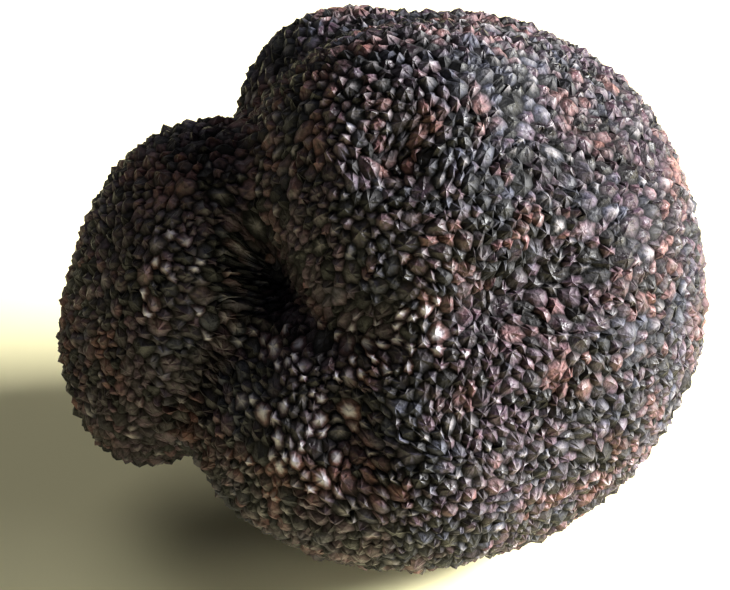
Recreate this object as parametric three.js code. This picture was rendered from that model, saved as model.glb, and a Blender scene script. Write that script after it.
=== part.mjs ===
// A black truffle: one solid lump of fungus, swollen into three lobes that meet in a deep crease, with a rind
// covered all over in small many-sided warts. Millimetres, +Z up. It rests on a small flat spot at z = 0, and
// the origin lies on the plane of that spot, under the middle of the lump.
import * as THREE from "three";
import { ConvexHull } from "three/addons/math/ConvexHull.js";

// The swellings of the body: centre, half sizes along X, Y and Z, and how far the top leans towards +X.
// They and the places below are measured from the main body's axis. The finished lump is then centred.
const LOBES = {
  mainBody: { centre: [0, 1.8, 24.3], half: [23.2, 25, 25.6] },
  sideLobe: { centre: [-26, -2, 25.8], half: [10.4, 13.5, 18], leanDeg: 16 },
  upperBulge: { centre: [-4.7, -2.6, 38.5], half: [14.8, 14.5, 15] },
  shoulder: { centre: [-9.8, 10.5, 36.7], half: [10.6, 11, 11] },
  lowerBulge: { centre: [-5.6, -14.9, 19.6], half: [15, 13, 13] },
  lowerCorner: { centre: [-14.3, -12.2, 18.6], half: [10.5, 10, 10.5] },
  backBulge: { centre: [6, 17, 27], half: [10, 9.5, 9.5] },
  lowBackBulge: { centre: [-9, 14, 15], half: [9, 9, 9] },
  foot: { centre: [-4.5, 1, 8], half: [11, 11, 9.4] },
};
const LOBE_BLEND = 1.2; // how softly neighbouring lobes run together
const CORE = new THREE.Vector3(-13, -3, 26); // a point inside, from which the whole surface can be seen

// The fold runs down the side lobe's crease, then between the upper and the lower bulge, and fades in the middle
// of the front.
const FOLD_PATH = [
  [-20.0, -8.6, 42.0],
  [-19.2, -11.6, 38.4],
  [-17.4, -14.6, 35.8],
  [-14.5, -18.0, 34.6],
  [-9.8, -21.6, 34.2],
  [-5.2, -22.1, 35.2],
  [-0.5, -21.9, 36.4],
];
const FOLD_DEPTH = [4.6, 0.4]; // near the start and at the end of the path
const FOLD_EASE = 0.25; // share of the path over which the fold deepens from nothing
const FOLD_HALF_WIDTH = 2.4;
const FOLD_STEPS = 60;

// Round hollows: high on the upper bulge, two on the right cheek in line with the fold, and in the lower bulge.
const DIMPLES = [
  { centre: [-4.7, -13, 50.3], depth: 1.7, halfWidth: 3 },
  { centre: [4.4, -20.8, 37.2], depth: 2.2, halfWidth: 3.6 },
  { centre: [9.4, -17.2, 38.2], depth: 2.8, halfWidth: 4 },
  { centre: [-9.6, -26.3, 25.4], depth: 2.6, halfWidth: 3.6 },
];
const SWELL_HEIGHT = 0.45; // slow unevenness of the whole skin
const SWELL_LENGTH = 17;
const SWELL_PHASE = new THREE.Vector3(1, 2, 0);

const WART_PITCH = 1.76; // least distance between the tips of two middling warts
const WART_SIZE_SPREAD = 0.2; // share by which a wart is larger or smaller than that
const WART_HEIGHT = 0.48;
const WART_HEIGHT_SPREAD = 0.25;
const GROOVE_DEPTH = 0.32;
const LEAST_RELIEF = 0.2; // share of the relief that is left where the skin is steepest
const WART_TRIES = 30000;
const SEED = 7;

const SKIN_COLOUR = 0x3b3132;
const SKIN_ROUGHNESS = 0.7;

// The search for the skin starts this far from the core, outside it everywhere, and ends this close to it.
const SEARCH_FROM = 48;
const SEARCH_TO = 0.01;
const SEARCH_STEP = 0.5; // share of the gap that is left, taken at each step
const SLOPE_SPAN = 0.05; // half the distance over which the skin's slope is taken
const AXES = [new THREE.Vector3(1, 0, 0), new THREE.Vector3(0, 1, 0), new THREE.Vector3(0, 0, 1)];

const lobes = Object.values(LOBES).map(({ centre, half, leanDeg = 0 }) => ({
  centre: new THREE.Vector3(...centre),
  half: new THREE.Vector3(...half),
  unlean: new THREE.Quaternion().setFromAxisAngle(AXES[1], -THREE.MathUtils.degToRad(leanDeg)),
}));
const fromCore = (point) => point.clone().sub(CORE);
const foldRays = new THREE.CatmullRomCurve3(FOLD_PATH.map((point) => new THREE.Vector3(...point)))
  .getSpacedPoints(FOLD_STEPS)
  .map((point) => fromCore(point).normalize());
const dimples = DIMPLES.map(({ centre, depth, halfWidth }) => ({
  ray: fromCore(new THREE.Vector3(...centre)).normalize(),
  depth,
  halfWidth,
}));

// How far a point lies outside one lobe: the usual estimate for an ellipsoid.
function outsideLobe(point, { centre, half, unlean }) {
  const local = point.clone().sub(centre).applyQuaternion(unlean).divide(half);
  const scaled = local.length();
  return (scaled * (scaled - 1)) / local.divide(half).length();
}

// How much a press of a given depth moves the skin: all of it on the ray from the core, less to its sides.
function press(offset, ray, depth, halfWidth) {
  const along = offset.dot(ray);
  return along < 0 ? 0 : depth * Math.exp((along * along - offset.lengthSq()) / halfWidth ** 2);
}

// The fold presses the skin in along its path, most near its start.
function foldPress(offset) {
  const presses = foldRays.map((ray, step) => {
    const share = step / FOLD_STEPS;
    const eased = THREE.MathUtils.smoothstep(share, 0, FOLD_EASE);
    const depth = eased * THREE.MathUtils.lerp(...FOLD_DEPTH, share);
    return press(offset, ray, depth, FOLD_HALF_WIDTH);
  });
  return Math.max(...presses);
}

// Less than 0 inside the smooth body, 0 on its skin, more than 0 outside.
function outsideBody(point) {
  const blended = lobes.reduce(
    (sum, lobe) => sum + Math.exp(-outsideLobe(point, lobe) / LOBE_BLEND),
    0,
  );
  const offset = fromCore(point);
  const pressed = dimples.reduce(
    (sum, { ray, depth, halfWidth }) => sum + press(offset, ray, depth, halfWidth),
    foldPress(offset),
  );
  const wave = point.clone().multiplyScalar((2 * Math.PI) / SWELL_LENGTH).add(SWELL_PHASE);
  const swell = (Math.sin(wave.x) + Math.sin(wave.y) + Math.sin(wave.z)) / 3;
  return -LOBE_BLEND * Math.log(blended) + pressed - SWELL_HEIGHT * swell;
}

// The skin's place along a direction from the core, found from outside inwards, and the way it faces there.
function skinAt(direction) {
  const at = (distance) => CORE.clone().addScaledVector(direction, distance);
  let distance = SEARCH_FROM;
  let gap = outsideBody(at(distance));
  while (gap > SEARCH_TO) {
    distance -= SEARCH_STEP * gap;
    gap = outsideBody(at(distance));
  }
  const place = at(distance);
  const slopes = AXES.map(
    (axis) =>
      outsideBody(place.clone().addScaledVector(axis, SLOPE_SPAN)) -
      outsideBody(place.clone().addScaledVector(axis, -SLOPE_SPAN)),
  );
  return { direction, place, normal: new THREE.Vector3(...slopes).normalize() };
}

// A point of the rind, raised or sunk from the smooth skin: less where the skin is steep to the core, as in a
// crease, and never below the plane that the truffle rests on.
function rindPoint({ direction, place, normal }, height) {
  const facing = THREE.MathUtils.clamp(normal.dot(direction), LEAST_RELIEF, 1);
  const point = place.clone().addScaledVector(normal, height * facing);
  point.z = Math.max(point.z, 0);
  return point;
}

// Wart tips, drawn at random over the skin, each kept if it leaves room for those already there.
const random = () => THREE.MathUtils.seededRandom();
const spread = (share) => 1 + share * (2 * random() - 1);
THREE.MathUtils.seededRandom(SEED);
const warts = [];
for (let attempt = 0; attempt < WART_TRIES; attempt += 1) {
  const turn = 2 * Math.PI * random();
  const rise = 2 * random() - 1;
  const flat = Math.sqrt(1 - rise * rise);
  const direction = new THREE.Vector3(flat * Math.cos(turn), flat * Math.sin(turn), rise);
  const wart = { ...skinAt(direction), size: WART_PITCH * spread(WART_SIZE_SPREAD) };
  if (warts.every((other) => other.place.distanceTo(wart.place) >= (other.size + wart.size) / 2)) {
    warts.push(wart);
  }
}

// Neighbouring warts are the corners of the faces of the hull around the core, and three of them meet at the
// middle of each face, down in the groove.
const { faces } = new ConvexHull().setFromPoints(warts.map(({ direction }) => direction));
const wartAt = new Map(warts.map(({ direction }, index) => [direction, index]));
const cornerAt = new Map(faces.map((face, index) => [face, warts.length + index]));

const tips = warts.map((wart) =>
  rindPoint(wart, WART_HEIGHT * (wart.size / WART_PITCH) * spread(WART_HEIGHT_SPREAD)),
);
const grooveCorners = faces.map(({ edge }) => {
  const neighbours = [edge, edge.next, edge.prev].map((side) => side.head().point);
  const between = neighbours.reduce((sum, point) => sum.add(point), new THREE.Vector3()).normalize();
  return rindPoint(skinAt(between), -GROOVE_DEPTH);
});

// Each wart is a low pyramid: one facet towards each neighbour, from its tip down to the groove between them.
const facets = faces.flatMap((face) =>
  [face.edge, face.edge.next, face.edge.prev].map((edge) => [
    wartAt.get(edge.tail().point),
    cornerAt.get(edge.twin.face),
    cornerAt.get(face),
  ]),
);

const rind = new THREE.BufferGeometry()
  .setFromPoints([...tips, ...grooveCorners])
  .setIndex(facets.flat());
rind.computeBoundingBox();
const middle = rind.boundingBox.getCenter(new THREE.Vector3());
rind.translate(-middle.x, -middle.y, 0);
rind.computeVertexNormals();

const truffle = new THREE.Mesh(
  rind,
  new THREE.MeshStandardMaterial({
    color: SKIN_COLOUR,
    roughness: SKIN_ROUGHNESS,
    metalness: 0,
    flatShading: true,
  }),
);
truffle.name = "truffle";

const group = new THREE.Group();
group.add(truffle);

export default group;
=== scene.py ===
# A whole black truffle on a pale floor, in light from the right, seen from a little above.
import math

import bpy
import numpy as np
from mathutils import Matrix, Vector


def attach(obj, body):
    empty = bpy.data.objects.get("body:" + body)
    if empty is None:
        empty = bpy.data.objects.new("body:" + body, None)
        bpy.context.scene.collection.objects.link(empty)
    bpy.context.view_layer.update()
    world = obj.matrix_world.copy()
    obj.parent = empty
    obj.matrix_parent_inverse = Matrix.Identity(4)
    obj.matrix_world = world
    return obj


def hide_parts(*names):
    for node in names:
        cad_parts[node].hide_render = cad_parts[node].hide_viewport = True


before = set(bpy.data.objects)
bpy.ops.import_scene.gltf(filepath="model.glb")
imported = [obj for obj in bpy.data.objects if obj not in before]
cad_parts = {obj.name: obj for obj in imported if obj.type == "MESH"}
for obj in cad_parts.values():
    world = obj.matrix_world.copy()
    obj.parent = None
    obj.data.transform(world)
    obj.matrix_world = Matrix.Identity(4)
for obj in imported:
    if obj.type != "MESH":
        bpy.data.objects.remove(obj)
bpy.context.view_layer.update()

# The truffle is one firm lump of fungus in a leathery black rind, which split into small pyramid-shaped warts
# as the lump swelled in the soil. The solid gives every large wart's tip and the groove corners around it.
# Here a small wart fills each of those corners, and all warts get crisp grooves and uneven sides.
MM = 0.001
TIP_WEIGHT = 0.55  # a large wart's weight in the place of its grooves, where a small wart's is 1
TIP_BLUNT = 0.26 * MM
SMALL_WART_RISE = 0.40 * MM
GROOVE_SINK = 0.22 * MM
HEIGHT_SPREAD = 0.14 * MM
PLACE_SPREAD = 0.14 * MM
BELLY_PLACE = 0.55  # the row that bellies out, as a share of the way from the tip to the groove
BELLY_RISE = 0.05 * MM
BELLY_SPREAD = 0.10 * MM
PLAIN_SHARE = 0.15  # the smallest warts, which have flat sides
CRUMB_HEIGHT = 0.05 * MM
CRUMB_LENGTHS = (0.8 * MM, 2.0 * MM)
CRUMB_WAVES = 36
FLAT_MARGIN = 0.4 * MM  # height over which the relief grows from the flat spot
SEED = 11


def merged_facets(mesh, closeness):
    """The points of a mesh of loose triangles, each kept once, and the triangles as rows of three of them."""
    places = np.empty(3 * len(mesh.vertices))
    mesh.vertices.foreach_get("co", places)
    places = places.reshape(-1, 3)
    mesh.calc_loop_triangles()
    corners = np.empty(3 * len(mesh.loop_triangles), int)
    mesh.loop_triangles.foreach_get("vertices", corners)
    keys = np.round(places / closeness).astype(int)
    _, first, merged = np.unique(keys, axis=0, return_index=True, return_inverse=True)
    return places[first], merged.reshape(-1)[corners].reshape(-1, 3)


def wart_tips(points, facets):
    """Which points are tips. Each facet has one tip and two groove corners, and the highest point is a tip,
    so what shares a facet with a tip is a corner, and what shares one with two corners is the next tip."""
    tips = np.arange(len(points)) == points[:, 2].argmax()
    known = tips.copy()
    while not known.all():
        known[facets[tips[facets].any(axis=1)]] = True
        beside_two_corners = (known & ~tips)[facets].sum(axis=1) == 2
        found = facets[~known[facets] & beside_two_corners[:, None]]
        tips[found] = True
        known[found] = True
    return tips


def unit(vectors):
    """The same directions with length 1."""
    return vectors / np.linalg.norm(vectors, axis=-1, keepdims=True)


def skin_normals(points, facets):
    """The way the smooth body faces: at a tip the sum of its facets' normals, at a corner the sum of the
    normals of the tips around it."""
    tip, first, second = points[facets].transpose(1, 0, 2)
    normals = np.zeros_like(points)
    np.add.at(normals, facets[:, 0], np.cross(first - tip, second - tip))
    at_tips = unit(normals[facets[:, 0]])
    np.add.at(normals, facets[:, 1], at_tips)
    np.add.at(normals, facets[:, 2], at_tips)
    return unit(normals)


def crumbs(places, draw):
    """A crumbly unevenness between about -1 and 1: a sum of waves in random directions of random length."""
    lengths = draw.uniform(*CRUMB_LENGTHS, CRUMB_WAVES)
    waves = unit(draw.normal(size=(CRUMB_WAVES, 3))) * (2 * np.pi / lengths)[:, None]
    phases = draw.uniform(0, 2 * np.pi, CRUMB_WAVES)
    return np.sin(places @ waves.T + phases).sum(axis=1) / math.sqrt(CRUMB_WAVES)


draw = np.random.default_rng(SEED)
points, facets = merged_facets(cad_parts["truffle"].data, 0.001 * MM)
tips = wart_tips(points, facets)
tip_column = tips[facets].argmax(axis=1)
facets = np.take_along_axis(facets, (tip_column[:, None] + [0, 1, 2]) % 3, axis=1)
normals = skin_normals(points, facets)

# Every point of the solid is the top of a wart, large or small. Grooves run between them, through one point
# on each edge and one on each facet of the solid.
pairs = np.sort(facets[:, [[0, 1], [1, 2], [2, 0]]], axis=2)
edges, facet_edges = np.unique(pairs.reshape(-1, 2), axis=0, return_inverse=True)
facet_edges = facet_edges.reshape(-1, 3) + len(points)
facet_middles = np.arange(len(facets)) + len(points) + len(edges)
edge_weights = np.where(tips[edges], TIP_WEIGHT, 1.0)
edge_weights /= edge_weights.sum(axis=1, keepdims=True)
facet_weights = np.where(tips[facets], TIP_WEIGHT, 1.0)
facet_weights /= facet_weights.sum(axis=1, keepdims=True)


def between(values):
    """Values at the wart tops, then at the groove points on edges and on facets, as weighted means of those
    at the tops around them."""
    on_edges = np.einsum("ek,ekx->ex", edge_weights, values[edges])
    on_facets = np.einsum("fk,fkx->fx", facet_weights, values[facets])
    return np.concatenate([values, on_edges, on_facets])


places = between(points)
outward = unit(between(normals))
is_top = np.arange(len(places)) < len(points)
rise = np.full(len(places), -GROOVE_SINK)
rise[:len(points)] = np.where(tips, -TIP_BLUNT, SMALL_WART_RISE)
rise += HEIGHT_SPREAD * draw.uniform(-1, 1, len(places)) * is_top
shift = outward * rise[:, None] + PLACE_SPREAD * draw.uniform(-1, 1, places.shape)

# Six small sides on each facet of the solid, two for each of its three warts: the large one at its tip and
# the small ones at its corners. A side runs from the wart's top to two groove points.
large, small_1, small_2 = facets.T
groove_to_1, groove_across, groove_to_2 = facet_edges.T
sides = np.concatenate([
    np.stack(side, axis=1) for side in (
        (large, groove_to_1, facet_middles), (large, facet_middles, groove_to_2),
        (small_1, groove_across, facet_middles), (small_1, facet_middles, groove_to_1),
        (small_2, groove_to_2, facet_middles), (small_2, facet_middles, groove_across))])
moved = places + shift
side_area = np.linalg.norm(
    np.cross(moved[sides[:, 1]] - moved[sides[:, 0]], moved[sides[:, 2]] - moved[sides[:, 0]]), axis=1)
wart_area = np.bincount(sides[:, 0], side_area, len(points))
plain = (wart_area < np.quantile(wart_area, PLAIN_SHARE))[sides[:, 0]]

# A row part of the way down each bellied side: one point for each top and groove point that share a side.
spokes = np.concatenate([sides[~plain][:, [0, 1]], sides[~plain][:, [0, 2]]])
spokes, spoke_of = np.unique(spokes, axis=0, return_inverse=True)
row = spoke_of.reshape(2, -1) + len(places)
top, groove_1, groove_2 = sides[~plain].T
triangles = np.concatenate([
    sides[plain],
    np.stack([top, row[0], row[1]], axis=1),
    np.stack([row[0], groove_1, groove_2], axis=1),
    np.stack([row[0], groove_2, row[1]], axis=1)])
owner = np.concatenate([sides[plain][:, 0], top, top, top])


def with_rows(values):
    """The same values, followed by those part of the way down the bellied sides."""
    top_values, groove_values = values[spokes[:, 0]], values[spokes[:, 1]]
    return np.concatenate([values, top_values + BELLY_PLACE * (groove_values - top_values)])


is_row = np.arange(len(places) + len(spokes)) >= len(places)
wart_height = with_rows(is_top.astype(float))
outward = unit(with_rows(outward))
solid_places = with_rows(places)
belly = is_row * (BELLY_RISE + BELLY_SPREAD * draw.uniform(-1, 1, len(is_row)))
shift = with_rows(shift) + outward * (belly + CRUMB_HEIGHT * crumbs(solid_places, draw))[:, None]
clear_of_flat = np.clip(solid_places[:, 2] / FLAT_MARGIN, 0, 1)
places = solid_places + shift * clear_of_flat[:, None]
places[:, 2] = np.maximum(places[:, 2], 0)

rind_mesh = bpy.data.meshes.new("truffle_rind")
rind_mesh.vertices.add(len(places))
rind_mesh.vertices.foreach_set("co", places.ravel())
rind_mesh.loops.add(triangles.size)
rind_mesh.loops.foreach_set("vertex_index", triangles.ravel())
rind_mesh.polygons.add(len(triangles))
rind_mesh.polygons.foreach_set("loop_start", np.arange(0, triangles.size, 3))
rind_mesh.update(calc_edges=True)
rind_mesh.shade_flat()
rind_mesh.attributes.new("wart_height", "FLOAT", "POINT").data.foreach_set("value", wart_height)
for name in ("wart_tone", "wart_hue"):
    by_wart = draw.random(len(points))
    rind_mesh.attributes.new(name, "FLOAT", "FACE").data.foreach_set("value", by_wart[owner])
rind = bpy.data.objects.new("truffle_rind", rind_mesh)
bpy.context.scene.collection.objects.link(rind)

# Truffle rind is dry, leathery fungus skin, black to purple-brown, paler where warts are dusty, with rusty
# patches where soil has stained it. It has a faint waxy gloss that glints off single warts, and pale specks
# are painted on some of them near the fold as painted glints.
BLACK_BROWN = "2c2129"
BLUE_BLACK = "23242d"
RUST = "422b28"
DUST = "969092"
BLUE_PATCH_MM = 9.0
RUST_PATCH_MM = 6.5
SPECKLE_MM = 0.6
GRAIN_MM = 0.3
GRAIN_DEPTH = 0.16 * MM
WART_SHADES = (0.1, 1.8)  # the darkest and the lightest wart, as shares of the skin's colour
# painted shade in the grooves: how dark they are painted, as a share of the skin's colour
PAINTED_GROOVE_SHADE = 0.15
MOTTLE = (0.5, 1.5)
RUST_MOST = 0.9
DUST_MOST = 0.5
GLOSS = (0.32, 0.75)  # the roughness of the glossiest and of the dullest wart
# the colour of the pale specks painted on single warts near the fold as painted glints
GLINT_SPECK_COLOUR = "a09da6"
PAINTED_GLINT_SPOTS = {  # where pale specks are painted on single warts as painted glints: middle and half width in millimetres
    "side_lobe": ((-18, -12, 34), 5),
    "fold_lip": ((-9, -19, 29), 5),
    "lower_bulge": ((-8, -22, 25), 5),
    "fold_middle": ((-1, -20, 32), 5),
    "fold_end": ((5, -20, 34), 4),
}
# how near each point is to a spot of painted glints
painted_glint = np.zeros(len(places))
for middle, half_width in PAINTED_GLINT_SPOTS.values():
    distance = np.linalg.norm(places / MM - middle, axis=1)
    painted_glint = np.maximum(painted_glint, np.exp(-(distance / half_width) ** 2))
rind_mesh.attributes.new("painted_glint", "FLOAT", "POINT").data.foreach_set("value", painted_glint)


def linear(hex_colour):
    """An sRGB hex colour as linear red, green, blue and full alpha."""
    channels = [int(hex_colour[place:place + 2], 16) / 255 for place in (0, 2, 4)]
    return [c / 12.92 if c <= 0.04045 else ((c + 0.055) / 1.055) ** 2.4 for c in channels] + [1.0]


def per_mm(size):
    """The scale of a pattern on coordinates in metres whose features are this many millimetres wide."""
    return 1 / (size * MM)


def add_node(tree, kind, inputs, output=0, **settings):
    """Adds a node with its settings and gives one of its outputs. An input that is a socket is linked to, and
    any other is set as a value."""
    node = tree.nodes.new(kind)
    for name, value in settings.items():
        setattr(node, name, value)
    for name, value in inputs.items():
        if isinstance(value, bpy.types.NodeSocket):
            tree.links.new(value, node.inputs[name])
        else:
            node.inputs[name].default_value = value
    return node.outputs[output]


def rind_material():
    """Blends the rind's colours by patches of real size and by wart, then paints shade into the grooves, lays
    dust on tops and paints pale specks as glints on tops near the fold."""
    material = bpy.data.materials.new("truffle_rind")
    material.use_nodes = True
    tree = material.node_tree
    shader = tree.nodes["Principled BSDF"]
    place = add_node(tree, "ShaderNodeTexCoord", {}, "Object")
    height = add_node(tree, "ShaderNodeAttribute", {}, "Fac", attribute_name="wart_height")
    tone = add_node(tree, "ShaderNodeAttribute", {}, "Fac", attribute_name="wart_tone")
    hue = add_node(tree, "ShaderNodeAttribute", {}, "Fac", attribute_name="wart_hue")
    # nearness to a spot of painted glints
    painted_glint_near = add_node(tree, "ShaderNodeAttribute", {}, "Fac", attribute_name="painted_glint")

    # Patches a few warts wide, with ragged edges because whole warts take a colour.
    blue_patch = add_node(tree, "ShaderNodeTexNoise", {"Vector": place, "Scale": per_mm(BLUE_PATCH_MM)})
    blue_patch = add_node(tree, "ShaderNodeMath", {0: hue, 1: 0.25, 2: blue_patch}, operation="MULTIPLY_ADD")
    blue_share = add_node(
        tree, "ShaderNodeMapRange", {"Value": blue_patch, "From Min": 0.6, "From Max": 0.72})
    rust_patch = add_node(tree, "ShaderNodeTexNoise", {"Vector": place, "Scale": per_mm(RUST_PATCH_MM)})
    rust_patch = add_node(tree, "ShaderNodeMath", {0: tone, 1: 0.2, 2: rust_patch}, operation="MULTIPLY_ADD")
    rust_share = add_node(
        tree, "ShaderNodeMapRange",
        {"Value": rust_patch, "From Min": 0.6, "From Max": 0.8, "To Max": RUST_MOST})
    skin = add_node(
        tree, "ShaderNodeMix",
        {0: blue_share, 6: linear(BLACK_BROWN), 7: linear(BLUE_BLACK)}, 2, data_type="RGBA")
    skin = add_node(tree, "ShaderNodeMix", {0: rust_share, 6: skin, 7: linear(RUST)}, 2, data_type="RGBA")

    # Every wart has its own depth of colour, and the grooves are painted nearly black as painted shade.
    tone_and_painted_shade = add_node(
        tree, "ShaderNodeMapRange",
        {"Value": tone, "From Min": 0.1, "From Max": 0.9, "To Min": WART_SHADES[0], "To Max": WART_SHADES[1]})
    painted_groove_shade = add_node(
        tree, "ShaderNodeMapRange",
        {"Value": height, "From Max": 0.35, "To Min": PAINTED_GROOVE_SHADE, "To Max": 1.0})
    speckle = add_node(
        tree, "ShaderNodeTexNoise", {"Vector": place, "Scale": per_mm(SPECKLE_MM), "Detail": 3.0})
    mottle = add_node(
        tree, "ShaderNodeMapRange",
        {"Value": speckle, "From Min": 0.35, "From Max": 0.65, "To Min": MOTTLE[0], "To Max": MOTTLE[1]})
    # each wart's own tone, times the painted shade of the grooves
    tone_and_painted_shade = add_node(tree, "ShaderNodeMath", {0: tone_and_painted_shade, 1: painted_groove_shade}, operation="MULTIPLY")
    tone_and_painted_shade = add_node(tree, "ShaderNodeMath", {0: tone_and_painted_shade, 1: mottle}, operation="MULTIPLY")
    skin = add_node(tree, "ShaderNodeVectorMath", {0: skin, "Scale": tone_and_painted_shade}, operation="SCALE")

    # Dust lies on the tops of a few warts only.
    dusty_warts = add_node(
        tree, "ShaderNodeMapRange", {"Value": hue, "From Min": 0.8, "From Max": 1.0, "To Max": DUST_MOST})
    wart_tops = add_node(tree, "ShaderNodeMapRange", {"Value": height, "From Min": 0.3, "From Max": 0.8})
    dust_share = add_node(tree, "ShaderNodeMath", {0: dusty_warts, 1: wart_tops}, operation="MULTIPLY")
    dust_share = add_node(tree, "ShaderNodeMath", {0: dust_share, 1: mottle}, operation="MULTIPLY")
    colour = add_node(tree, "ShaderNodeMix", {0: dust_share, 6: skin, 7: linear(DUST)}, 2, data_type="RGBA")

    # Pale specks painted as glints cover about a third of the warts at the middle of a spot, and none away
    # from it.
    painted_glint_warts = add_node(tree, "ShaderNodeMath", {0: painted_glint_near, 1: 0.4, 2: tone}, operation="MULTIPLY_ADD")
    painted_glint_warts = add_node(tree, "ShaderNodeMapRange", {"Value": painted_glint_warts, "From Min": 1.0, "From Max": 1.1})
    painted_glint_share = add_node(tree, "ShaderNodeMath", {0: painted_glint_warts, 1: wart_tops}, operation="MULTIPLY")
    colour = add_node(tree, "ShaderNodeMix", {0: painted_glint_share, 6: colour, 7: linear(GLINT_SPECK_COLOUR)}, 2, data_type="RGBA")

    # Grooves are dull, and every wart has its own gloss.
    gloss = add_node(tree, "ShaderNodeMapRange", {"Value": hue, "To Min": GLOSS[0], "To Max": GLOSS[1]})
    roughness = add_node(
        tree, "ShaderNodeMapRange", {"Value": height, "From Max": 0.5, "To Min": 1.0, "To Max": gloss})
    grain = add_node(tree, "ShaderNodeTexNoise", {"Vector": place, "Scale": per_mm(GRAIN_MM), "Detail": 4.0})
    grain = add_node(tree, "ShaderNodeBump", {"Height": grain, "Strength": 0.8, "Distance": GRAIN_DEPTH})
    tree.links.new(colour, shader.inputs["Base Color"])
    tree.links.new(roughness, shader.inputs["Roughness"])
    tree.links.new(grain, shader.inputs["Normal"])
    shader.inputs["IOR"].default_value = 1.45
    shader.inputs["Specular IOR Level"].default_value = 0.4
    return material


rind_mesh.materials.append(rind_material())
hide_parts("truffle")
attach(rind, "root")

# The floor is a plain cream surface, far wider than the view, and isn't part of the truffle.
FLOOR_HALF = 2.0
FLOOR_COLOUR = "efe7b7"
floor_mesh = bpy.data.meshes.new("floor")
floor_corners = [(-1, -1, 0), (1, -1, 0), (1, 1, 0), (-1, 1, 0)]
floor_mesh.from_pydata(FLOOR_HALF * np.array(floor_corners), [], [(0, 1, 2, 3)])
floor_material = bpy.data.materials.new("cream_floor")
floor_material.use_nodes = True
floor_shader = floor_material.node_tree.nodes["Principled BSDF"]
floor_shader.inputs["Base Color"].default_value = linear(FLOOR_COLOUR)
floor_shader.inputs["Roughness"].default_value = 0.8
floor_mesh.materials.append(floor_material)
floor = bpy.data.objects.new("floor", floor_mesh)
bpy.context.scene.collection.objects.link(floor)

# A window-like lamp stands at the right, about 27 degrees up, and a weaker one low beside it. A weak one high
# at the back left lightens the shadow, and a faint surround fills the rest.
LAMP_DISTANCE = 0.9
LAMPS = {
    "window_lamp": {"towards": (0.89, 0.00, 0.46), "width": 0.40, "height": 0.28, "power": 50.0},
    "low_lamp": {"towards": (0.98, -0.15, 0.08), "width": 0.40, "height": 0.12, "power": 12.0},
    "back_lamp": {"towards": (-0.35, 0.35, 0.87), "width": 0.60, "height": 0.60, "power": 1.9},
}
SURROUND_COLOUR = "dfe2ff"
SURROUND_STRENGTH = 0.022
for name, lamp in LAMPS.items():
    light = bpy.data.lights.new(name, "AREA")
    light.shape = "RECTANGLE"
    light.size = lamp["width"]
    light.size_y = lamp["height"]
    light.energy = lamp["power"]
    towards = Vector(lamp["towards"]).normalized()
    lamp_object = bpy.data.objects.new(name, light)
    lamp_object.location = towards * LAMP_DISTANCE
    lamp_object.rotation_euler = towards.to_track_quat("Z", "Y").to_euler()
    bpy.context.scene.collection.objects.link(lamp_object)
world = bpy.data.worlds.new("soft_surround")
world.use_nodes = True
world.node_tree.nodes["Background"].inputs["Color"].default_value = linear(SURROUND_COLOUR)
world.node_tree.nodes["Background"].inputs["Strength"].default_value = SURROUND_STRENGTH
bpy.context.scene.world = world
bpy.context.scene.view_settings.view_transform = "Standard"

# The camera looks down at the truffle from the front, along +Y, so that it falls where the photograph has it.
PICTURE_SIZE = (730, 590)
AIM_PIXEL = (387, 287)  # where the aim point falls in the picture
AIM = Vector((0.4 * MM, 0.3 * MM, 25.2 * MM))
PIXELS_PER_MM = 10.67
ELEVATION = math.radians(35)
VIEW_DISTANCE = 440 * MM
camera_data = bpy.data.cameras.new("camera")
camera_data.lens = camera_data.sensor_width * PIXELS_PER_MM * (VIEW_DISTANCE / MM) / PICTURE_SIZE[0]
camera_data.shift_x = (PICTURE_SIZE[0] / 2 - AIM_PIXEL[0]) / PICTURE_SIZE[0]
camera_data.shift_y = (AIM_PIXEL[1] - PICTURE_SIZE[1] / 2) / PICTURE_SIZE[0]
camera_data.clip_start = 10 * MM
camera = bpy.data.objects.new("camera", camera_data)
camera.location = AIM + VIEW_DISTANCE * Vector((0, -math.cos(ELEVATION), math.sin(ELEVATION)))
camera.rotation_euler = (math.pi / 2 - ELEVATION, 0, 0)
bpy.context.scene.collection.objects.link(camera)
bpy.context.scene.camera = camera
